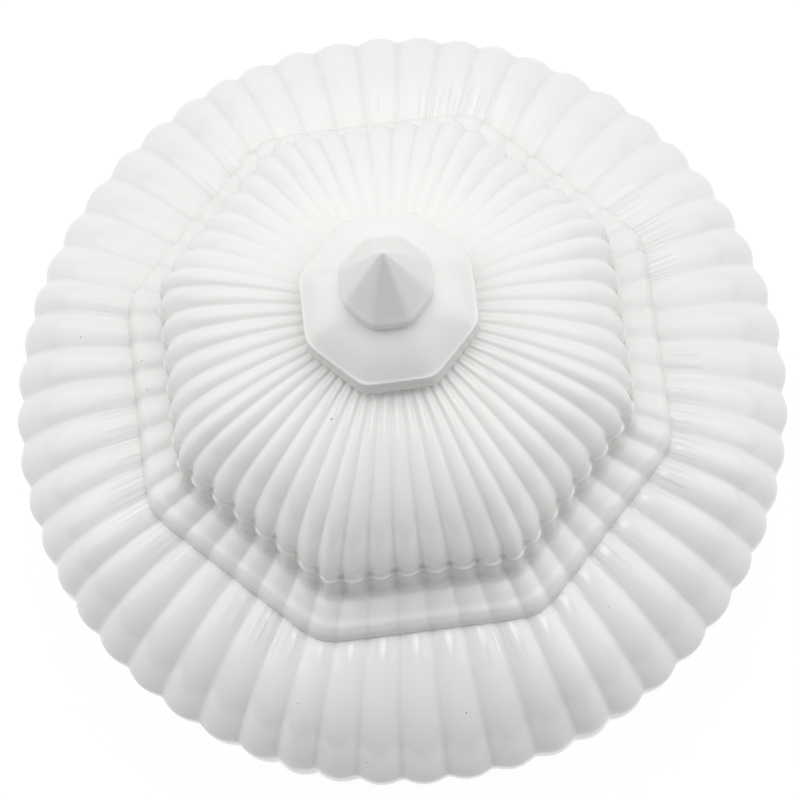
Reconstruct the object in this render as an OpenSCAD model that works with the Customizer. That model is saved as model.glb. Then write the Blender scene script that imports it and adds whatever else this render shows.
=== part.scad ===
// Covered casserole dish in white glazed earthenware. A round fluted bowl rises to an
// octagonal rim, and carries an octagonal fluted lid with a pointed octagonal knob.
// Millimetres. +Z is up, and the origin is the centre of the foot on the table.

/* [Bowl] */
// Widest radius of the bowl, over its flutes
belly_r = 121; // [100:0.5:140]
// Height of the widest line above the table
belly_h = 70; // [60:1:78]
// Thickness of the bowl's wall
bowl_wall = 6; // [4:0.5:8]
// Height of the shoulder under the lip's outer edge
shoulder_h = 99; // [90:1:110]

/* [Foot] */
// Half the width of the foot across its flats
foot_a = 60; // [45:1:70]
// Height of the foot ring
foot_h = 9; // [7:0.5:14]
// Width of the foot ring
foot_t = 7; // [5:0.5:10]

/* [Rim] */
// Width of the flat land on which the lid rests
land_t = 6.5; // [4:0.5:9]
// Height of the land above the shoulder's edge
land_rise = 5.5; // [4.5:0.5:8]

/* [Lid] */
// Half the width of the lid across its flats
lid_a = 80; // [72:1:88]
// Width of the lip that hangs over the rim
lip_t = 5.5; // [4:0.5:7]
// Height of the lip's outer face
lip_h = 6.5; // [5:0.5:9]
// Width of the sloping flange inside the lip
flange_w = 10; // [7:0.5:13]
// Rise of the sloping flange
flange_rise = 2.5; // [1.5:0.5:6]
// Height of the upright wall over the flange
wall_h = 16; // [10:0.5:20]
// How far the lobes of the dome stand out over the upright wall
nose_t = 0.8; // [0.4:0.1:1.5]
// Height of the dome over the upright wall
dome_h = 37; // [28:1:46]
// Thickness of the lid's wall
lid_wall = 5.5; // [4:0.5:7]
// Depth of the locating rim below the land
locator_h = 8; // [5:0.5:12]
// Thickness of the locating rim
locator_t = 5; // [3:0.5:7]

/* [Knob] */
// Half the width of the knob's collar across its flats
collar_a = 24.5; // [20:0.5:30]
// Height of the collar's upright side
collar_h = 9; // [7:0.5:12]
// Height of the neck under the collar
neck_h = 4.5; // [3:0.5:7]
// Height of the collar's sloping top
collar_rise = 10; // [7:0.5:14]
// Half the width of the finial across its flats
finial_a = 12.6; // [9:0.2:15]
// Height of the finial's upright band
band_h = 7; // [5:0.5:10]
// Height of the finial's point
point_h = 23.5; // [16:0.5:30]

/* [Flutes] */
// Flutes on each of the eight sides
flutes_per_side = 7; // [5:1:8]
// Depth of the grooves round the belly
belly_groove = 1.9; // [1:0.1:2.4]
// Depth of the grooves on the dome and the upright wall
dome_groove = 1.9; // [1:0.1:2.4]
// Depth of the grooves on the lid's flange
flange_groove = 1.2; // [0.6:0.1:1.6]

/* [Clearances] */
// Gap between the lip's underside and the shoulder
lip_gap = 0.8; // [0.5:0.1:1.5]
// Gap between the locating rim and the mouth
mouth_gap = 1; // [0.6:0.1:2]
// Gap between the lip and the rim's outer face
rim_gap = 1.5; // [1:0.1:2.5]

/* [Hidden] */

glaze = [0.93, 0.935, 0.93];
biscuit = [0.88, 0.86, 0.82];

sides = 8;
flutes = sides * flutes_per_side;
steps = 4;                 // mesh steps across one flute
corner_power = 44;         // higher is a sharper octagon corner
corner_r = 1 / cos(180 / sides);

lip_z = shoulder_h + lip_gap;
land_z = shoulder_h + land_rise;
lip_top = lip_z + lip_h;
flange_top = lip_top + flange_rise;
dome_edge = flange_top + wall_h;
dome_top = dome_edge + dome_h;
lip_in = lid_a - lip_t;
rim_out = lip_in - rim_gap;
mouth_a = rim_out - land_t;
locator_out = mouth_a - mouth_gap;
locator_in = locator_out - locator_t;
dome_a = lid_a - 2 - flange_w;
neck_a = 0.72 * collar_a;
lip_slope = tan(20);
rim_base = shoulder_h + (lid_a - rim_out) * lip_slope;
collar_z = dome_top + neck_h;
collar_top = collar_z + collar_h;
finial_z = collar_top + collar_rise;
band_top = finial_z + band_h;
seat_a = finial_a - 2.5;   // half the width of the flat under the finial

function bezier(p, t) =
    p[0] * pow(1 - t, 3) + 3 * p[1] * t * pow(1 - t, 2) + 3 * p[2] * t * t * (1 - t) + p[3] * pow(t, 3);
function unit(v) = v / max(norm(v), 1e-9);
function smooth(t) = t * t * (3 - 2 * t);

// Reach of a soft-cornered octagon of half width 1 at an angle
function octagon(angle) =
    pow(1 / (let (c = [for (k = [0:sides - 1]) pow(max(0, cos(angle - k * 360 / sides)), corner_power)])
        c * [for (k = c) 1]), 1 / corner_power);

// Direction of each mesh line. Flutes are equally wide along a flat side, with one on each corner.
function side_angle(j) =
    let (n = flutes_per_side * steps, side = floor(j / n), t = (j - side * n) / n * 2 - 1)
    -90 + side * 360 / sides + atan(t * tan(180 / sides));
// 0 on a flute's crown and 1 in the groove beside it
function groove(j) = let (u = ((j + steps / 2) % steps) / steps * 2 - 1) u * u;

// A profile row is [half width, height, share of octagon, groove depth]
function row_normal(rows, i) =
    let (a = rows[max(i - 1, 0)], b = rows[min(i + 1, len(rows) - 1)])
    unit([b[1] - a[1], a[0] - b[0]]);
function ring(rows, i, lines) =
    let (row = rows[i], n = row_normal(rows, i))
    [for (j = [0:lines - 1])
        let (angle = side_angle(j), dip = row[3] * groove(j),
             r = row[0] * (1 - row[2] + row[2] * octagon(angle)) - dip * n[0])
        [r * cos(angle), r * sin(angle), row[1] - dip * n[1]]];

// Solid between two points on the axis, through the rings that the profile rows describe
module fluted_solid(rows, first_z, last_z) {
    lines = flutes * steps;
    last = len(rows) - 1;
    end = 1 + len(rows) * lines;
    polyhedron(
        points = concat([[0, 0, first_z]], [for (i = [0:last]) each ring(rows, i, lines)], [[0, 0, last_z]]),
        faces = concat(
            [for (j = [0:lines - 1]) [0, 1 + j, 1 + (j + 1) % lines]],
            [for (i = [0:last - 1], j = [0:lines - 1])
                let (a = 1 + i * lines + j, b = 1 + i * lines + (j + 1) % lines) each
                [[a, a + lines, b], [b, a + lines, b + lines]]],
            [for (j = [0:lines - 1])
                [1 + last * lines + j, end, 1 + last * lines + (j + 1) % lines]]));
}

// Outline of the bowl below and above its widest line
under_belly = [[foot_a, foot_h], [foot_a + 28, foot_h + 3], [belly_r, belly_h - 34], [belly_r, belly_h]];
over_belly = [[belly_r, belly_h], [belly_r, belly_h + 7], [lid_a + 24, shoulder_h - 1.5], [lid_a, shoulder_h]];
inner_under = [[foot_a - 4, foot_h + bowl_wall], [foot_a + 24, foot_h + bowl_wall],
    [belly_r - bowl_wall, belly_h - 30], [belly_r - bowl_wall, belly_h]];
inner_over = [[belly_r - bowl_wall, belly_h], [belly_r - bowl_wall, belly_h + 6],
    [lid_a + 17, shoulder_h - bowl_wall - 2], [mouth_a, shoulder_h - bowl_wall]];

bowl_rows = concat(
    [[foot_a, foot_h, 1, 0]],
    [for (t = [0.2, 0.4, 0.6, 0.8])
        concat(bezier(under_belly, t), [1 - smooth(t), belly_groove * min(1, 0.4 + t)])],
    [for (t = [0, 0.2, 0.4, 0.6, 0.8, 1])
        concat(bezier(over_belly, t), [smooth(t), belly_groove * (1 - 0.35 * t)])],
    [[rim_out, rim_base, 1, 0], [rim_out, land_z, 1, 0], [mouth_a, land_z, 1, 0]],
    [for (t = [1, 0.7, 0.4, 0]) concat(bezier(inner_over, t), [t, 0])],
    [for (t = [0.6, 0.3, 0]) concat(bezier(inner_under, t), [1 - t, 0])]);

module bowl() {
    color(glaze) fluted_solid(bowl_rows, foot_h, foot_h + bowl_wall);
}

module octagon_prism(half_width, height) {
    rotate([0, 0, 180 / sides]) cylinder(r = half_width * corner_r, h = height, $fn = 8);
}

module foot_ring() {
    color(biscuit) difference() {
        octagon_prism(foot_a, foot_h);
        translate([0, 0, -1]) octagon_prism(foot_a - foot_t, foot_h + 2);
    }
}

// Outline of the lid's dome and of its underside
dome_curve = [[dome_a, dome_edge + 1.5], [dome_a - 0.2, dome_edge + 18], [neck_a + 36, dome_top - 3], [neck_a, dome_top]];
under_curve = [[0.6 * neck_a, dome_top - lid_wall - 1], [neck_a + 31, dome_top - lid_wall - 3],
    [locator_in, dome_edge + 12], [locator_in, dome_edge - 4]];

lid_rows = concat(
    [for (t = [0, 0.35, 0.7, 1]) concat(bezier(under_curve, t), [t, 0])],
    [[locator_in, land_z, 1, 0],
     [lip_in, land_z, 1, 0],
     [lip_in, lip_z + lip_t * lip_slope, 1, 0],
     [lid_a - 0.8, lip_z, 1, 0.4],
     [lid_a, lip_z + 1.5, 1, 0.7],
     [lid_a - 0.5, lip_top - 2.2, 1, 0.8],
     [lid_a - 2.6, lip_top, 1, 1],
     [dome_a + 2, flange_top - 0.4, 1, flange_groove],
     [dome_a + 0.6, flange_top + 1.5, 1, dome_groove],
     [dome_a - nose_t, dome_edge - 1, 1, dome_groove - nose_t]],
    [for (t = [0, 0.2, 0.45, 0.65, 0.85]) concat(bezier(dome_curve, t), [1 - 0.5 * t, dome_groove * (1 - 0.85 * t)])],
    [[neck_a, dome_top, 0.5, 0]]);

module lid() {
    color(glaze) fluted_solid(lid_rows, dome_top - lid_wall - 3, dome_top);
}

module locating_rim() {
    color(glaze) translate([0, 0, land_z - locator_h]) difference() {
        intersection() {
            octagon_prism(locator_out, locator_h);
            cylinder(r = locator_out * octagon(180 / sides), h = locator_h, $fn = 96);
        }
        translate([0, 0, -1]) octagon_prism(locator_in, locator_h + 2);
    }
}

// Solid with eight flat sides, through rows of [half width, height]
module octagon_stack(rows) {
    polyhedron(
        points = [for (row = rows, k = [0:sides - 1])
            [row[0] * corner_r * cos((k + 0.5) * 360 / sides), row[0] * corner_r * sin((k + 0.5) * 360 / sides), row[1]]],
        faces = concat(
            [[for (k = [0:sides - 1]) k]],
            [for (i = [0:len(rows) - 2], k = [0:sides - 1])
                let (a = i * sides + k, b = i * sides + (k + 1) % sides) [a, a + sides, b + sides, b]],
            [[for (k = [sides - 1:-1:0]) (len(rows) - 1) * sides + k]]));
}

module knob_neck() {
    color(glaze) translate([0, 0, dome_top]) octagon_prism(neck_a, neck_h);
}

module knob_collar() {
    color(glaze) octagon_stack([
        [neck_a, collar_z],
        [collar_a - 1, collar_z],
        [collar_a, collar_z + 1.5],
        [collar_a, collar_top - 2],
        [collar_a - 1.5, collar_top],
        [collar_a - 6, collar_top + 0.62 * collar_rise],
        [seat_a, finial_z]]);
}

module knob_finial() {
    color(glaze) octagon_stack([
        [seat_a, finial_z],
        [finial_a, finial_z + 2],
        [finial_a, band_top - 1],
        [finial_a - 0.6, band_top],
        [1.2, band_top + point_h - 1.5],
        [0.6, band_top + point_h]]);
}

bowl();
foot_ring();
lid();
locating_rim();
knob_neck();
knob_collar();
knob_finial();
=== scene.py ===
"""Covered casserole dish: a fluted bowl and its octagonal lid, in white glazed earthenware.

The bowl, the lid and the parts of the knob are all turned outlines. Each outline is a row of
rings, and one Geometry Nodes tree carries it round the dish, blends it from a circle to a
soft octagon, and presses the flutes into it.
"""

import math

import bpy
from mathutils import Matrix, Vector


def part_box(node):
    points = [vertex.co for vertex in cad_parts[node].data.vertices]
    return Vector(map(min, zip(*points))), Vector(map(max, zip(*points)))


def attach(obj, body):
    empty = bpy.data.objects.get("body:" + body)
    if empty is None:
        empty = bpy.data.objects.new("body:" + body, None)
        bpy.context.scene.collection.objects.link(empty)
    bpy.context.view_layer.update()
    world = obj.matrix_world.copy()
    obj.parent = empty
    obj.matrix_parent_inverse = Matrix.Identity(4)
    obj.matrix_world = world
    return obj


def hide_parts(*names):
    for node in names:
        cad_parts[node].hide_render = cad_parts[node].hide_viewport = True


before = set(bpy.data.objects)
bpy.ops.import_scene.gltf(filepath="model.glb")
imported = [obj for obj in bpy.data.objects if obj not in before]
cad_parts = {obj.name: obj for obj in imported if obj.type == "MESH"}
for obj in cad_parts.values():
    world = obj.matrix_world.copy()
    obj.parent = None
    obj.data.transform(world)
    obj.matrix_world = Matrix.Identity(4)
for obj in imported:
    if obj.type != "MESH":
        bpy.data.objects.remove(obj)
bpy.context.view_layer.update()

MM = 0.001
SIDES = 8
FLUTES = 56

# How finely a piece is cut round its turn
FLUTED_COLUMNS = FLUTES * 13
PLAIN_COLUMNS = 320
NECK_COLUMNS = 240

# How sharp an octagon's corners are: the higher, the sharper
ROUNDED_TOP = 9
ROUNDED_TIP = 12
FINIAL_CORNER = 18
CREASE_CORNER = 20
LIP_CORNER = 34
COLLAR_CORNER = 36
NECK_CORNER = 40
DISH_CORNER = 44
RIM_CORNER = 60

# How deeply the grooves are pressed in
BELLY_GROOVE = 2.3 * MM
SHOULDER_GROOVE = 1.5 * MM
LIP_GROOVE = 0.6 * MM
FLANGE_GROOVE = 1.35 * MM
WALL_GROOVE = 2.2 * MM

LIP_SLOPE = math.tan(math.radians(20))

# ---------------------------------------------------------------- sizes, from the frame

bowl_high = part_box("bowl")[1]
foot_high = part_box("foot_ring")[1]
lid_low, lid_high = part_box("lid")
rim_low, rim_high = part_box("locating_rim")
neck_low, neck_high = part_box("knob_neck")
collar_low, collar_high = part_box("knob_collar")
finial_low, finial_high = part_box("knob_finial")

belly_r = bowl_high[0] - 0.05 * MM
belly_h = 70 * MM
foot_h = foot_high[2]
foot_a = foot_high[0]
foot_t = 7 * MM
bowl_wall = 6 * MM
land_z = bowl_high[2]
lid_a = lid_high[0]
lip_z = lid_low[2]
lip_h = 6.5 * MM
lip_t = 5.5 * MM
lip_gap = 0.8 * MM
shoulder_h = lip_z - lip_gap
rim_out = lid_a - lip_t - 1.5 * MM
locator_out = rim_high[0]
locator_in = locator_out - 5 * MM
mouth_a = locator_out + 1 * MM
lip_top = lip_z + lip_h
flange_top = lip_top + 2.5 * MM
dome_a = lid_a - 12 * MM
dome_edge = flange_top + 16 * MM
nose_t = 0.6 * MM
dome_top = lid_high[2]
neck_a = neck_high[0]
lid_wall = 5.5 * MM
collar_a = collar_high[0]
collar_z = collar_low[2]
collar_top = collar_z + 9 * MM
finial_z = finial_low[2]
finial_a = finial_high[0]
band_top = finial_z + 7 * MM
tip_z = finial_high[2]
seat_a = finial_a - 2.5 * MM

# ---------------------------------------------------------------- node trees


class Value:
    """A node's output. Operators on it add Math nodes to its tree."""

    def __init__(self, tree, socket):
        self.tree = tree
        self.socket = socket

    def math(self, operation, *others):
        return self.tree.math(operation, self, *others)

    def __add__(self, other):
        return self.tree.math("ADD", self, other)

    def __radd__(self, other):
        return self.tree.math("ADD", other, self)

    def __sub__(self, other):
        return self.tree.math("SUBTRACT", self, other)

    def __rsub__(self, other):
        return self.tree.math("SUBTRACT", other, self)

    def __mul__(self, other):
        return self.tree.math("MULTIPLY", self, other)

    def __truediv__(self, other):
        return self.tree.math("DIVIDE", self, other)

    def __rtruediv__(self, other):
        return self.tree.math("DIVIDE", other, self)

    def __pow__(self, other):
        return self.tree.math("POWER", self, other)


class Tree:
    """Adds nodes to a shader or geometry tree."""

    def __init__(self, tree):
        self.tree = tree

    def node(self, kind, settings=None, values=None):
        made = self.tree.nodes.new(kind)
        for name, value in (settings or {}).items():
            if name == "stops":
                self.set_stops(made.color_ramp, value)
            else:
                setattr(made, name, value)
        for name, value in (values or {}).items():
            socket = made.inputs[name]
            if isinstance(value, Value):
                self.tree.links.new(value.socket, socket)
            elif isinstance(value, bpy.types.NodeSocket):
                self.tree.links.new(value, socket)
            else:
                socket.default_value = value
        return made

    def set_stops(self, ramp, stops):
        while len(ramp.elements) < len(stops):
            ramp.elements.new(0.5)
        for element, (place, colour) in zip(ramp.elements, stops):
            element.position = place
            element.color = (*colour, 1)

    def value(self, kind, settings=None, values=None, output=0):
        return Value(self, self.node(kind, settings, values).outputs[output])

    def math(self, operation, *operands):
        return self.value("ShaderNodeMath", {"operation": operation}, dict(enumerate(operands)))

    def smoothstep(self, value, low, high):
        settings = {"interpolation_type": "SMOOTHSTEP"}
        return self.value("ShaderNodeMapRange", settings, {0: value, 1: low, 2: high})


# ---------------------------------------------------------------- outlines


def bezier(points, t):
    a, b, c, d = points
    u = 1 - t
    return tuple(
        a[i] * u ** 3 + 3 * b[i] * u * u * t + 3 * c[i] * u * t * t + d[i] * t ** 3 for i in (0, 1)
    )


def smooth(t):
    return t * t * (3 - 2 * t)


# What a ring carries besides its place: its share of the octagon, its flutes' depth, how soft their
# grooves are, the octagon's sharpness, how much painted shade darkens its glaze, and how much it has run
FACTS = ("octagon", "depth", "soft", "corner", "shade", "runs")


class Outline:
    """A piece's rings, from its first to its last. A ring is its half width, its height and its facts."""

    def __init__(self, octagon=1, depth=0, soft=0.1, corner=DISH_CORNER, shade=0):
        self.rings = []
        self.now = (octagon, depth, soft, corner, shade, 0)

    def add(self, place, facts):
        if self.rings:
            last = self.rings[-1]
            if math.dist(last[:2], place) < 1e-6:
                return
        self.rings.append((*place, *facts))

    def curve(self, points, steps, ease=False, **ends):
        target = tuple(ends.get(name, now) for name, now in zip(FACTS, self.now))
        for i in range(steps + 1):
            t = i / steps
            share = smooth(t) if ease else t
            facts = [a + (b - a) * share for a, b in zip(self.now, target)]
            self.add(bezier(points, t), facts)
        self.now = target
        return self

    def line(self, end, steps=1, **ends):
        start = self.rings[-1][:2]
        third = [tuple(a + (b - a) * k / 3 for a, b in zip(start, end)) for k in range(4)]
        return self.curve(third, steps, **ends)

    def bend(self, towards, end, steps=5, **ends):
        """A rounded turn from the last ring to end, drawn towards a point."""
        start = self.rings[-1][:2]
        pull = 0.6
        near = [tuple(a + (b - a) * pull for a, b in zip(p, towards)) for p in (start, end)]
        return self.curve([start, near[0], near[1], end], steps, **ends)

    def begin(self, place):
        self.rings.append((*place, *self.now))
        return self


def unit(x, z):
    size = math.hypot(x, z) or 1
    return x / size, z / size


def outline_mesh(name, outline):
    """The outline as a chain of points, with each ring's facts as attributes."""
    rings = outline.rings
    mesh = bpy.data.meshes.new(name)
    chain = [(i, i + 1) for i in range(len(rings) - 1)]
    mesh.from_pydata([(ring[0], 0, ring[1]) for ring in rings], chain, [])
    normals = []
    for i in range(len(rings)):
        before, after = rings[max(i - 1, 0)], rings[min(i + 1, len(rings) - 1)]
        normals.append(unit(after[1] - before[1], before[0] - after[0]))
    facts = {name: [ring[2 + k] for ring in rings] for k, name in enumerate(FACTS)}
    facts["out"] = [n[0] for n in normals]
    facts["up"] = [n[1] for n in normals]
    for fact, numbers in facts.items():
        mesh.attributes.new(fact, "FLOAT", "POINT").data.foreach_set("value", numbers)
    return mesh


# ---------------------------------------------------------------- the tree that turns an outline


def fluted_tree():
    """Turns an outline into a closed skin. A flute sits on every corner of the octagon, and the
    flutes are equally wide along a side. Each one is a little different, as pressed clay is."""
    group = bpy.data.node_groups.new("fluted_turning", "GeometryNodeTree")
    face = group.interface
    face.new_socket("Geometry", in_out="INPUT", socket_type="NodeSocketGeometry")
    sizes = {
        "Columns": ("NodeSocketInt", FLUTES * 12),
        "Flutes": ("NodeSocketFloat", FLUTES),
        "Sides": ("NodeSocketFloat", SIDES),
        "Crowding": ("NodeSocketFloat", 0.45),
        "Unevenness": ("NodeSocketFloat", 0.12),
        "Warp": ("NodeSocketFloat", 0.25 * MM),
        "Seed": ("NodeSocketFloat", 1.0),
        "Material": ("NodeSocketMaterial", None),
    }
    for name, (kind, start) in sizes.items():
        socket = face.new_socket(name, in_out="INPUT", socket_type=kind)
        if start is not None:
            socket.default_value = start
    face.new_socket("Geometry", in_out="OUTPUT", socket_type="NodeSocketGeometry")

    tree = Tree(group)
    given = tree.node("NodeGroupInput").outputs
    size = {name: Value(tree, given[name]) for name in sizes}
    outline = given["Geometry"]

    rings = tree.value("GeometryNodeAttributeDomainSize", {"component": "MESH"}, {"Geometry": outline})
    columns = tree.math("ADD", size["Columns"], 1)
    grid = tree.node("GeometryNodeMeshGrid", None,
                     {"Size X": 1, "Size Y": 1, "Vertices X": columns, "Vertices Y": rings})
    here = tree.node("ShaderNodeSeparateXYZ", None, {0: tree.value("GeometryNodeInputPosition")})
    around = Value(tree, here.outputs[0]) + 0.5
    along = Value(tree, here.outputs[1]) + 0.5
    ring = (along * (rings - 1)).math("ROUND")

    def sample(field, kind):
        return tree.value("GeometryNodeSampleIndex", {"data_type": kind},
                          {"Geometry": outline, "Value": field, "Index": ring})

    def fact(name):
        named = tree.value("GeometryNodeInputNamedAttribute", {"data_type": "FLOAT"}, {"Name": name})
        return sample(named, "FLOAT")

    ring_place = sample(tree.value("GeometryNodeInputPosition"), "FLOAT_VECTOR")
    place = tree.node("ShaderNodeSeparateXYZ", None, {0: ring_place})
    half_width = Value(tree, place.outputs[0])
    height = Value(tree, place.outputs[2])

    # Where the column lies: columns crowd towards the grooves, where the shape turns fastest
    turns = around * size["Flutes"]
    crowded = turns + (turns * math.tau).math("SINE") * size["Crowding"] / math.tau
    flute = crowded.math("ROUND")
    across = (crowded - flute).math("ABSOLUTE") * 2
    lead = crowded / size["Flutes"] * size["Sides"]
    side = lead.math("FLOOR")
    half_side = math.pi / size["Sides"]
    along_side = (lead - side) * 2 - 1
    bearing = (along_side * half_side.math("TANGENT")).math("ARCTANGENT")
    angle = bearing + side * half_side * 2 - math.pi / 2

    # Reach of a soft-cornered octagon of half width 1 at this bearing
    corner = fact("corner")
    off_flat = bearing.math("ABSOLUTE")
    nearest = off_flat.math("COSINE") ** corner
    beside = (half_side * 2 - off_flat).math("COSINE") ** corner
    reach = (nearest + beside) ** (-1 / corner)
    octagon = fact("octagon")
    wide = half_width * (1 - octagon + octagon * reach)

    # The flute: a round crown, falling to a groove softened by the glaze
    chance = tree.node("FunctionNodeRandomValue", {"data_type": "FLOAT"},
                       {"ID": tree.math("MODULO", flute, size["Flutes"]), "Seed": 3,
                        2: -1.0, 3: 1.0})
    luck = Value(tree, next(o for o in chance.outputs if o.enabled))
    soft = fact("soft")
    crown = 1 - across * across
    rounded = (crown * crown + soft * soft).math("SQRT")
    depth = fact("depth") * (1 + luck * size["Unevenness"] * across * 0.5)
    press = depth * (1 - rounded)

    # The whole skin wanders a little
    spot = tree.value("ShaderNodeCombineXYZ", None, {
        0: angle.math("COSINE") * wide, 1: angle.math("SINE") * wide, 2: height + size["Seed"]})
    wander = tree.value("ShaderNodeTexNoise", {"noise_dimensions": "3D"},
                        {"Vector": spot, "Scale": 28.0, "Detail": 1.5})
    inward = press + size["Warp"] * (wander - 0.5) * (wide / (wide + 4 * MM))

    radius = wide - inward * fact("out")
    rise = height - inward * fact("up")
    target = tree.value("ShaderNodeCombineXYZ", None, {
        0: angle.math("COSINE") * radius, 1: angle.math("SINE") * radius, 2: rise})
    skin = grid.outputs["Mesh"]
    deep = (depth / MM).math("MINIMUM", 1)
    # shade carries painted shade into the glaze's colour
    marks = {"pool": across * deep, "flute": turns, "shade": fact("shade"), "runs": fact("runs")}
    for name, field in marks.items():
        skin = tree.value("GeometryNodeStoreNamedAttribute", {"data_type": "FLOAT", "domain": "POINT"},
                          {"Geometry": skin, "Name": name, "Value": field})
    placed = tree.value("GeometryNodeSetPosition", None, {"Geometry": skin, "Position": target})
    closed = tree.value("GeometryNodeMergeByDistance", None, {"Geometry": placed, "Distance": 0.01 * MM})
    shaded = tree.value("GeometryNodeSetShadeSmooth", None, {"Geometry": closed})
    real = tree.value("GeometryNodeRealizeInstances", None, {"Geometry": shaded})
    dressed = tree.value("GeometryNodeSetMaterial", None, {"Geometry": real, "Material": size["Material"]})
    tree.node("NodeGroupOutput", None, {"Geometry": dressed})
    return group


def turned(name, outline, tree, material, **sizes):
    """The outline carried round the dish, as a plain mesh object."""
    mesh = outline_mesh(name + "_outline", outline)
    maker = bpy.data.objects.new(name + "_outline", mesh)
    bpy.context.collection.objects.link(maker)
    modifier = maker.modifiers.new("turn", "NODES")
    modifier.node_group = tree
    given = {"Material": material, **{key.title(): value for key, value in sizes.items()}}
    for item in tree.interface.items_tree:
        if item.in_out == "INPUT" and item.name in given:
            modifier[item.identifier] = given[item.name]
    evaluated = maker.evaluated_get(bpy.context.evaluated_depsgraph_get())
    skin = bpy.data.meshes.new_from_object(evaluated)
    maker.modifiers.clear()
    bpy.data.objects.remove(maker)
    bpy.data.meshes.remove(mesh)
    skin.name = name
    piece = bpy.data.objects.new(name, skin)
    bpy.context.collection.objects.link(piece)
    return piece


# ---------------------------------------------------------------- materials


GLAZE = (0.82, 0.82, 0.805, 1)
POOLED_GLAZE = (0.755, 0.76, 0.745, 1)
PAINTED_SHADE_AND_DARK_RUNS = (0.56, 0.57, 0.555, 1)
RUN_HIGHLIGHT_GLAZE = (0.87, 0.87, 0.86, 1)
IRON_SPECK = (0.06, 0.05, 0.045, 1)
DAMP_CLAY = (0.74, 0.70, 0.62, 1)
DRY_CLAY = (0.83, 0.80, 0.74, 1)
WHITE = (1, 1, 1, 1)


def new_material(name):
    material = bpy.data.materials.new(name)
    material.use_nodes = True
    material.node_tree.nodes.clear()
    return material, Tree(material.node_tree)


def white_glaze():
    """Thick white glaze: a little cooler where it pools in a groove, with painted shade on the wall under
    the dome's lobes, the collar's side and the finial, streaks under the lip whose light lines are painted
    highlights on glaze runs, ripples, runs along the flutes, and scattered iron specks."""
    material, tree = new_material("white_glaze")
    place = tree.value("ShaderNodeTexCoord", None, None, "Object")
    pool = tree.value("ShaderNodeAttribute", {"attribute_name": "pool"}, None, "Fac")
    flute = tree.value("ShaderNodeAttribute", {"attribute_name": "flute"}, None, "Fac")
    shade = tree.value("ShaderNodeAttribute", {"attribute_name": "shade"}, None, "Fac")
    below_lip = tree.value("ShaderNodeAttribute", {"attribute_name": "runs"}, None, "Fac")
    cloud = tree.value("ShaderNodeTexNoise", None, {"Vector": place, "Scale": 22.0, "Detail": 3.0})
    pooled = tree.smoothstep(pool + (cloud - 0.5) * 0.3, 0.7, 1.1)
    body = tree.value("ShaderNodeMix", {"data_type": "RGBA"}, {
        "Factor": pooled, 6: GLAZE, 7: POOLED_GLAZE}, 2)
    height = Value(tree, tree.node("ShaderNodeSeparateXYZ", None, {0: place}).outputs[2])
    fall = tree.value("ShaderNodeCombineXYZ", None, {0: flute * 11, 1: height * 90})
    drips = tree.value("ShaderNodeTexNoise", None, {"Vector": fall, "Scale": 1.0, "Detail": 3.0})
    patch = tree.smoothstep(cloud, 0.42, 0.6) * 1.6 + 0.25
    # Streaks under the lip follow the glaze runs; their light lines are painted highlights on the runs
    streak = (drips - 0.5) * tree.smoothstep(below_lip, 0.88, 1.0) * patch
    # deep: painted shade from the shade fact, plus the dark lines of the lip streaks
    deep = (shade.math("MAXIMUM", 0) + streak * 1.6).math("MAXIMUM", 0)
    body = tree.value("ShaderNodeMix", {"data_type": "RGBA"}, {
        "Factor": deep.math("MINIMUM", 1), 6: body, 7: PAINTED_SHADE_AND_DARK_RUNS}, 2)
    # Light streaks: painted highlights on the glaze runs
    body = tree.value("ShaderNodeMix", {"data_type": "RGBA"}, {
        "Factor": (streak * -3).math("MAXIMUM", 0), 6: body, 7: RUN_HIGHLIGHT_GLAZE}, 2)

    cells = tree.node("ShaderNodeTexVoronoi", {"feature": "F1"}, {"Vector": place, "Scale": 110.0})
    pick = tree.node("ShaderNodeSeparateColor", None, {0: cells.outputs["Color"]})
    rare = Value(tree, pick.outputs[0]).math("GREATER_THAN", 0.3)
    speck_size = 0.016 + Value(tree, pick.outputs[1]) * 0.026
    near = 1 - tree.math("DIVIDE", Value(tree, cells.outputs["Distance"]), speck_size)
    strength = 0.4 + Value(tree, pick.outputs[2]) * 0.6
    speck = (near.math("MAXIMUM", 0) * 2.5).math("MINIMUM", 1) * rare * strength
    colour = tree.value("ShaderNodeMix", {"data_type": "RGBA"}, {
        "Factor": speck, 6: body, 7: IRON_SPECK}, 2)

    ripple = tree.value("ShaderNodeTexNoise", None, {"Vector": place, "Scale": 45.0, "Detail": 1.0})
    fine = tree.value("ShaderNodeTexNoise", None, {"Vector": place, "Scale": 160.0, "Detail": 2.0})
    along = tree.value("ShaderNodeCombineXYZ", None, {0: flute * 5, 1: height * 60})
    runs = tree.value("ShaderNodeTexNoise", None, {"Vector": along, "Scale": 1.0, "Detail": 2.0})
    relief = tree.value("ShaderNodeBump", None, {
        "Strength": 0.4, "Distance": 0.2 * MM, "Height": ripple + fine * 0.15 + runs * pool * 1.2})
    shader = tree.value("ShaderNodeBsdfPrincipled", None, {
        "Base Color": colour, "Roughness": 0.09 + cloud * 0.08, "IOR": 1.56, "Normal": relief})
    tree.node("ShaderNodeOutputMaterial", None, {"Surface": shader})
    return material


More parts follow.
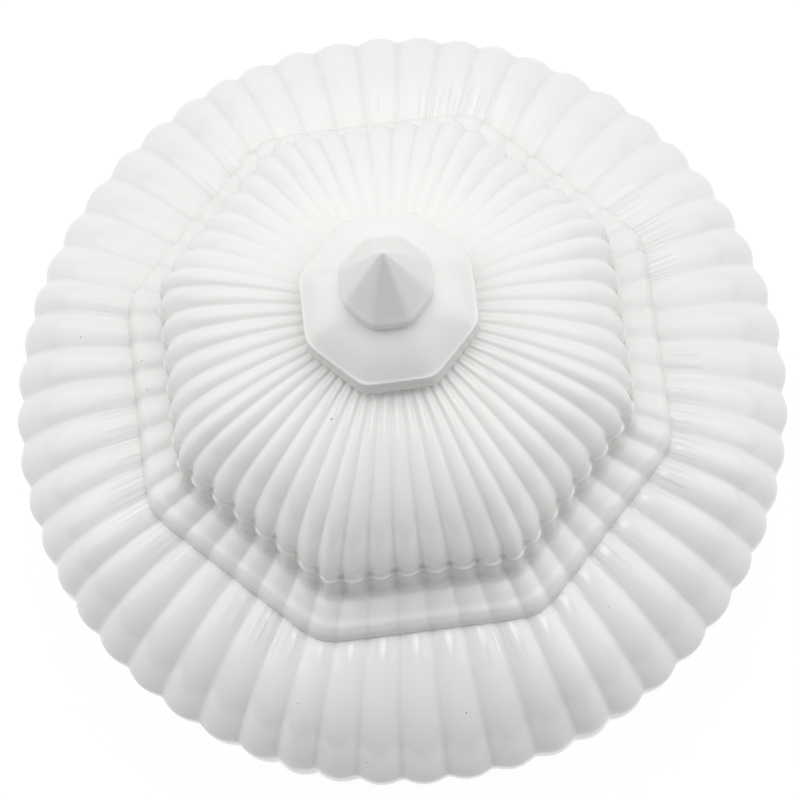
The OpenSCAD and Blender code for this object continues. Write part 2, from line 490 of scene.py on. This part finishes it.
def bare_clay():
    """Unglazed biscuit, dry and a little gritty."""
    material, tree = new_material("bare_clay")
    place = tree.value("ShaderNodeTexCoord", None, None, "Object")
    cloud = tree.value("ShaderNodeTexNoise", None, {"Vector": place, "Scale": 60.0, "Detail": 4.0})
    grit = tree.value("ShaderNodeTexNoise", None, {"Vector": place, "Scale": 900.0, "Detail": 2.0})
    colour = tree.value("ShaderNodeMix", {"data_type": "RGBA"}, {
        "Factor": cloud, 6: DAMP_CLAY, 7: DRY_CLAY}, 2)
    relief = tree.value("ShaderNodeBump", None, {"Strength": 0.4, "Distance": 0.1 * MM, "Height": grit})
    shader = tree.value("ShaderNodeBsdfPrincipled", None, {
        "Base Color": colour, "Roughness": 0.7 + cloud * 0.2, "Normal": relief})
    tree.node("ShaderNodeOutputMaterial", None, {"Surface": shader})
    return material


# ---------------------------------------------------------------- the bowl

def bowl_outline():
    inside_r = belly_r - bowl_wall
    floor_h = foot_h + bowl_wall
    rim_base = shoulder_h + (lid_a - rim_out) * LIP_SLOPE
    bowl = Outline(octagon=1, depth=0, soft=0.3)
    bowl.begin((0, foot_h)).line((foot_a * 0.97, foot_h), 4)
    bowl.curve([(foot_a * 0.97, foot_h), (foot_a + 6 * MM, foot_h), (foot_a + 12 * MM, foot_h + 1.5 * MM),
                (foot_a + 17 * MM, foot_h + 3.2 * MM)], 8, octagon=0.75, depth=0.5 * BELLY_GROOVE)
    bowl.curve([(foot_a + 17 * MM, foot_h + 3.2 * MM), (foot_a + 44 * MM, foot_h + 8 * MM),
                (belly_r, belly_h - 30 * MM), (belly_r, belly_h)], 20, octagon=0, depth=BELLY_GROOVE)
    bowl.curve([(belly_r, belly_h), (belly_r, belly_h + 7 * MM), (lid_a + 24 * MM, shoulder_h - 1.5 * MM),
                (lid_a, shoulder_h)], 34, ease=True, octagon=1, depth=SHOULDER_GROOVE, runs=1)
    bowl.line((rim_out + 1 * MM, rim_base - 0.3 * MM), 4, depth=0.2 * MM)
    bowl.bend((rim_out, rim_base), (rim_out, rim_base + 1 * MM), 3, depth=0)
    bowl.line((rim_out, land_z - 0.8 * MM), 2)
    bowl.bend((rim_out, land_z), (rim_out - 0.8 * MM, land_z), 3)
    bowl.line((mouth_a + 1.2 * MM, land_z), 2)
    bowl.bend((mouth_a, land_z), (mouth_a, land_z - 1.2 * MM), 4)
    bowl.line((mouth_a, shoulder_h - bowl_wall), 3)
    bowl.curve([(mouth_a, shoulder_h - bowl_wall), (lid_a + 17 * MM, shoulder_h - bowl_wall - 2 * MM),
                (inside_r, belly_h + 6 * MM), (inside_r, belly_h)], 14, ease=True, octagon=0)
    bowl.curve([(inside_r, belly_h), (inside_r, belly_h - 30 * MM), (foot_a + 24 * MM, floor_h),
                (foot_a - 4 * MM, floor_h)], 12, ease=True, octagon=0)
    bowl.line((0, floor_h), 4)
    return bowl


def foot_outline():
    inner = foot_a - foot_t
    foot = Outline(octagon=1, depth=0, corner=RIM_CORNER)
    top = foot_h + 0.2 * MM
    foot.begin((foot_a - 0.3 * MM, top))
    foot.curve([(foot_a - 0.3 * MM, top), (foot_a - 1.6 * MM, foot_h - 2.5 * MM),
                (foot_a - 0.2 * MM, 4 * MM), (foot_a - 0.2 * MM, 2.6 * MM)], 8)
    foot.bend((foot_a - 0.2 * MM, 0), (foot_a - 2.4 * MM, 0), 7)
    foot.line((inner + 1.6 * MM, 0), 2)
    foot.bend((inner + 0.2 * MM, 0), (inner + 0.2 * MM, 2 * MM), 6)
    foot.curve([(inner + 0.2 * MM, 2 * MM), (inner + 0.2 * MM, 5 * MM), (inner + 0.8 * MM, foot_h - 2 * MM),
                (inner, top)], 6)
    foot.line((foot_a - 0.3 * MM, top), 2)
    return foot


# ---------------------------------------------------------------- the lid


def lid_outline():
    lip_in = lid_a - lip_t
    lip_edge = lip_z - 0.75 * MM
    lip_root = lip_z + lip_t * LIP_SLOPE
    lid = Outline(octagon=1, depth=0, soft=0.2)
    under_top = dome_top - lid_wall - 1 * MM
    lid.begin((0, under_top)).line((0.6 * neck_a, under_top), 2)
    lid.curve([(0.6 * neck_a, under_top), (neck_a + 31 * MM, under_top - 2 * MM),
               (locator_in, dome_edge + 12 * MM), (locator_in, dome_edge - 4 * MM)], 14)
    lid.line((locator_in, land_z), 4)
    lid.line((lip_in - 0.6 * MM, land_z), 3)
    lid.bend((lip_in, land_z), (lip_in, land_z - 0.5 * MM), 2)
    lid.line((lip_in, lip_root + 0.4 * MM), 2)
    lid.bend((lip_in, lip_root), (lip_in + 0.6 * MM, lip_root - 0.3 * MM), 2)
    lid.line((lid_a - 0.4 * MM, lip_edge + 0.1 * MM), 3, depth=0.5 * LIP_GROOVE)
    lid.bend((lid_a - 0.1 * MM, lip_edge), (lid_a, lip_edge + 0.3 * MM), 4, depth=0.9 * LIP_GROOVE)
    lid.curve([(lid_a, lip_edge + 0.3 * MM), (lid_a - 0.2 * MM, lip_z + 3 * MM),
               (lid_a - 1.4 * MM, lip_top - 0.5 * MM), (lid_a - 4.2 * MM, lip_top)], 14,
              depth=FLANGE_GROOVE, soft=0.3, corner=LIP_CORNER)
    lid.curve([(lid_a - 4.2 * MM, lip_top), (lid_a - 6 * MM, lip_top + 0.6 * MM),
               (dome_a + 5 * MM, flange_top - 0.9 * MM), (dome_a + 2.2 * MM, flange_top - 0.3 * MM)], 10,
              corner=DISH_CORNER)
    # The wall under the dome's lobes is painted darker as shade, most halfway up and less at its foot and
    # top
    lid.bend((dome_a + 0.9 * MM, flange_top), (dome_a + 0.5 * MM, flange_top + 2.2 * MM), 5,
             depth=WALL_GROOVE, soft=0.3, shade=0.15)
    lid.line((dome_a - nose_t, dome_edge - 1.6 * MM), 8, depth=WALL_GROOVE - nose_t, shade=0.42)
    lid.bend((dome_a - 0.7 * nose_t, dome_edge - 0.6 * MM), (dome_a - 0.2 * nose_t, dome_edge - 0.4 * MM), 4,
             depth=WALL_GROOVE - 0.2 * nose_t, shade=0.15)
    lid.bend((dome_a + 0.1 * MM, dome_edge - 0.2 * MM), (dome_a + 0.1 * MM, dome_edge + 0.5 * MM), 4,
             depth=WALL_GROOVE, shade=0)
    lid.bend((dome_a + 0.05 * MM, dome_edge + 1 * MM), (dome_a - 0.45 * MM, dome_edge + 1.1 * MM), 4)
    lid.bend((dome_a - 0.7 * MM, dome_edge + 1.2 * MM), (dome_a - 0.75 * MM, dome_edge + 2 * MM), 4)
    lid.curve([(dome_a - 0.75 * MM, dome_edge + 2 * MM), (dome_a - 0.8 * MM, dome_edge + 18 * MM),
               (neck_a + 36 * MM, dome_top - 3 * MM), (neck_a, dome_top)], 44,
              depth=0.2 * WALL_GROOVE, soft=0.3, octagon=0.5)
    lid.line((0, dome_top - 1 * MM), 3, depth=0)
    return lid


def locating_rim_outline():
    low, high = rim_low[2], rim_high[2]
    rim = Outline(octagon=1, depth=0, corner=RIM_CORNER)
    rim.begin((locator_out, high + 0.1 * MM)).line((locator_out, low + 1.5 * MM), 3)
    rim.bend((locator_out, low), (locator_out - 1.8 * MM, low), 5)
    rim.line((locator_in + 1.8 * MM, low), 2)
    rim.bend((locator_in, low), (locator_in, low + 1.5 * MM), 5)
    rim.line((locator_in, high + 0.1 * MM), 3)
    rim.line((locator_out, high + 0.1 * MM), 2)
    return rim


# ---------------------------------------------------------------- the knob


def neck_outline():
    neck = Outline(octagon=1, corner=NECK_CORNER)
    neck.begin((0, neck_low[2] - 1.5 * MM)).line((neck_a - 0.2 * MM, neck_low[2] - 1.5 * MM), 2)
    neck.line((neck_a - 0.3 * MM, neck_low[2]), 2)
    neck.curve([(neck_a - 0.3 * MM, neck_low[2]), (neck_a - 1.6 * MM, neck_low[2] + 1 * MM),
                (neck_a - 1.6 * MM, neck_high[2] - 1 * MM), (neck_a - 0.3 * MM, neck_high[2])], 6)
    neck.line((0, neck_high[2]), 2)
    return neck


def collar_outline():
    collar = Outline(octagon=1, corner=COLLAR_CORNER)
    collar.begin((0, collar_z)).line((neck_a - 0.2 * MM, collar_z), 2)
    collar.line((collar_a - 1.8 * MM, collar_z + 0.1 * MM), 3)
    # The collar's side is painted darker as shade
    collar.bend((collar_a, collar_z + 0.1 * MM), (collar_a, collar_z + 1.8 * MM), 6, shade=0.45)
    collar.line((collar_a - 0.4 * MM, collar_top - 0.3 * MM), 5)
    collar.bend((collar_a - 0.4 * MM, collar_top), (collar_a - 0.8 * MM, collar_top + 0.1 * MM), 5,
                corner=CREASE_CORNER, shade=0)
    collar.curve([(collar_a - 0.8 * MM, collar_top + 0.1 * MM), (collar_a - 4.4 * MM, collar_top + 4 * MM),
                  (seat_a + 6 * MM, finial_z - 1.8 * MM), (seat_a, finial_z)], 20, corner=ROUNDED_TOP,
                 octagon=0.85)
    collar.line((0, finial_z), 3)
    return collar


def finial_outline():
    # The whole finial is painted a little darker as shade
    finial = Outline(octagon=1, corner=FINIAL_CORNER, shade=0.2)
    finial.begin((0, finial_z - 0.3 * MM)).line((seat_a - 0.3 * MM, finial_z - 0.3 * MM), 2)
    finial.line((seat_a + 0.2 * MM, finial_z + 0.3 * MM), 2)
    finial.curve([(seat_a + 0.2 * MM, finial_z + 0.3 * MM), (finial_a - 1.2 * MM, finial_z + 1 * MM),
                  (finial_a, finial_z + 1.6 * MM), (finial_a, finial_z + 3 * MM)], 6)
    finial.line((finial_a, band_top - 1 * MM), 3)
    finial.bend((finial_a, band_top), (finial_a - 0.9 * MM, band_top + 0.9 * MM), 6)
    finial.line((1.5 * MM, tip_z - 2.2 * MM), 24)
    finial.bend((0.5 * MM, tip_z - 0.4 * MM), (0, tip_z - 0.4 * MM), 6, corner=ROUNDED_TIP)
    return finial


# ---------------------------------------------------------------- assembly

glaze = white_glaze()
clay = bare_clay()
tree = fluted_tree()

PIECES = [
    # name, outline, body, slot, material, columns, warp
    ("bowl", bowl_outline, "bowl", "white_glaze", glaze, FLUTED_COLUMNS, 0.3 * MM),
    ("foot_ring", foot_outline, "bowl", "bare_clay", clay, PLAIN_COLUMNS, 0.1 * MM),
    ("lid", lid_outline, "lid", "white_glaze", glaze, FLUTED_COLUMNS, 0.25 * MM),
    ("locating_rim", locating_rim_outline, "lid", "white_glaze", glaze, PLAIN_COLUMNS, 0.1 * MM),
    ("knob_neck", neck_outline, "lid", "white_glaze", glaze, NECK_COLUMNS, 0.05 * MM),
    ("knob_collar", collar_outline, "lid", "white_glaze", glaze, PLAIN_COLUMNS, 0.25 * MM),
    ("knob_finial", finial_outline, "lid", "white_glaze", glaze, PLAIN_COLUMNS, 0.15 * MM),
]

for name, outline, body, slot, material, columns, warp in PIECES:
    piece = turned(name + "_skin", outline(), tree, material, columns=columns, warp=warp)
    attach(piece, body)
    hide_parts(name)


# ---------------------------------------------------------------- floor, light and camera

# The floor looks white to the camera but keeps the dish's shadow, so it is a little less than all glow
FLOOR_WHITENESS = 0.93
FLOOR_GLOW = 1.03

SOFTBOXES = [
    # name, place, size, power in watts
    ("overhead_softbox", (0.05, 0.05, 1.15), (0.6, 0.6), 3.4),
    ("left_softbox", (-1.0, 0.3, 0.75), (1.0, 1.4), 3.8),
    ("right_softbox", (1.0, 0.0, 0.75), (0.9, 1.3), 3.1),
]


def floor():
    """A matt pale floor that is nearly white to look at."""
    mesh = bpy.data.meshes.new("floor")
    half = 3.0
    corners = [(-half, -half, 0), (half, -half, 0), (half, half, 0), (-half, half, 0)]
    mesh.from_pydata(corners, [], [(0, 1, 2, 3)])
    obj = bpy.data.objects.new("floor", mesh)
    bpy.context.collection.objects.link(obj)
    material, tree = new_material("pale_floor")
    path = tree.node("ShaderNodeLightPath")
    seen = Value(tree, path.outputs["Is Camera Ray"])
    for ray in ("Is Glossy Ray", "Is Transmission Ray"):
        seen = seen.math("MAXIMUM", Value(tree, path.outputs[ray]))
    matt = tree.value("ShaderNodeBsdfDiffuse", None, {"Color": (0.8, 0.8, 0.8, 1)})
    bright = tree.value("ShaderNodeEmission", None, {"Color": WHITE, "Strength": FLOOR_GLOW})
    mixed = tree.value("ShaderNodeMixShader", None, {0: seen * FLOOR_WHITENESS, 1: matt, 2: bright})
    tree.node("ShaderNodeOutputMaterial", None, {"Surface": mixed})
    mesh.materials.append(material)


def softbox(name, place, size, power):
    middle = Vector((0, 0, 0.1))
    data = bpy.data.lights.new(name, "AREA")
    data.shape = "RECTANGLE"
    data.size, data.size_y = size
    data.energy = power
    obj = bpy.data.objects.new(name, data)
    bpy.context.collection.objects.link(obj)
    obj.location = place
    obj.rotation_euler = (Vector(place) - middle).to_track_quat("Z", "Y").to_euler()


def lights():
    """A softbox overhead, one on each side, and a studio that is dimmer in front and low down."""
    for name, place, size, power in SOFTBOXES:
        softbox(name, place, size, power)
    world = bpy.data.worlds.new("studio")
    bpy.context.scene.world = world
    world.use_nodes = True
    world.node_tree.nodes.clear()
    tree = Tree(world.node_tree)
    path = tree.node("ShaderNodeLightPath")
    seen = Value(tree, path.outputs["Is Camera Ray"])
    direction = tree.value("ShaderNodeTexCoord", None, None, "Generated")
    sides = tree.node("ShaderNodeSeparateXYZ", None, {0: direction})
    back = Value(tree, sides.outputs[0]) * 0.1 + Value(tree, sides.outputs[1]) * 0.7
    level = tree.smoothstep(back + Value(tree, sides.outputs[2]) * 0.75, -0.65, 0.85) * 0.68 + 0.05
    dim = tree.value("ShaderNodeBackground", None, {"Color": WHITE, "Strength": level})
    white = tree.value("ShaderNodeBackground", None, {"Color": WHITE, "Strength": 1.0})
    mixed = tree.value("ShaderNodeMixShader", None, {0: seen, 1: dim, 2: white})
    tree.node("ShaderNodeOutputWorld", None, {"Surface": mixed})


def camera():
    elevation = math.radians(75)
    roll = math.radians(7.2)
    distance = 840 * MM
    aim = Vector((0, 0, 60 * MM))
    # Its axes, before it is rolled: back towards the camera, right, and up
    back = Vector((0, -math.cos(elevation), math.sin(elevation)))
    right = Vector((1, 0, 0))
    up = back.cross(right)
    turned_right = right * math.cos(roll) - up * math.sin(roll)
    turned_up = right * math.sin(roll) + up * math.cos(roll)
    data = bpy.data.cameras.new("camera")
    data.sensor_width = 36
    data.lens = 119
    data.shift_x = -0.0025
    data.shift_y = 0.007
    obj = bpy.data.objects.new("camera", data)
    bpy.context.collection.objects.link(obj)
    turn = Matrix((turned_right, turned_up, back)).transposed().to_4x4()
    obj.matrix_world = Matrix.Translation(aim + back * distance) @ turn
    bpy.context.scene.camera = obj


floor()
lights()
camera()
bpy.context.scene.view_settings.view_transform = "Standard"
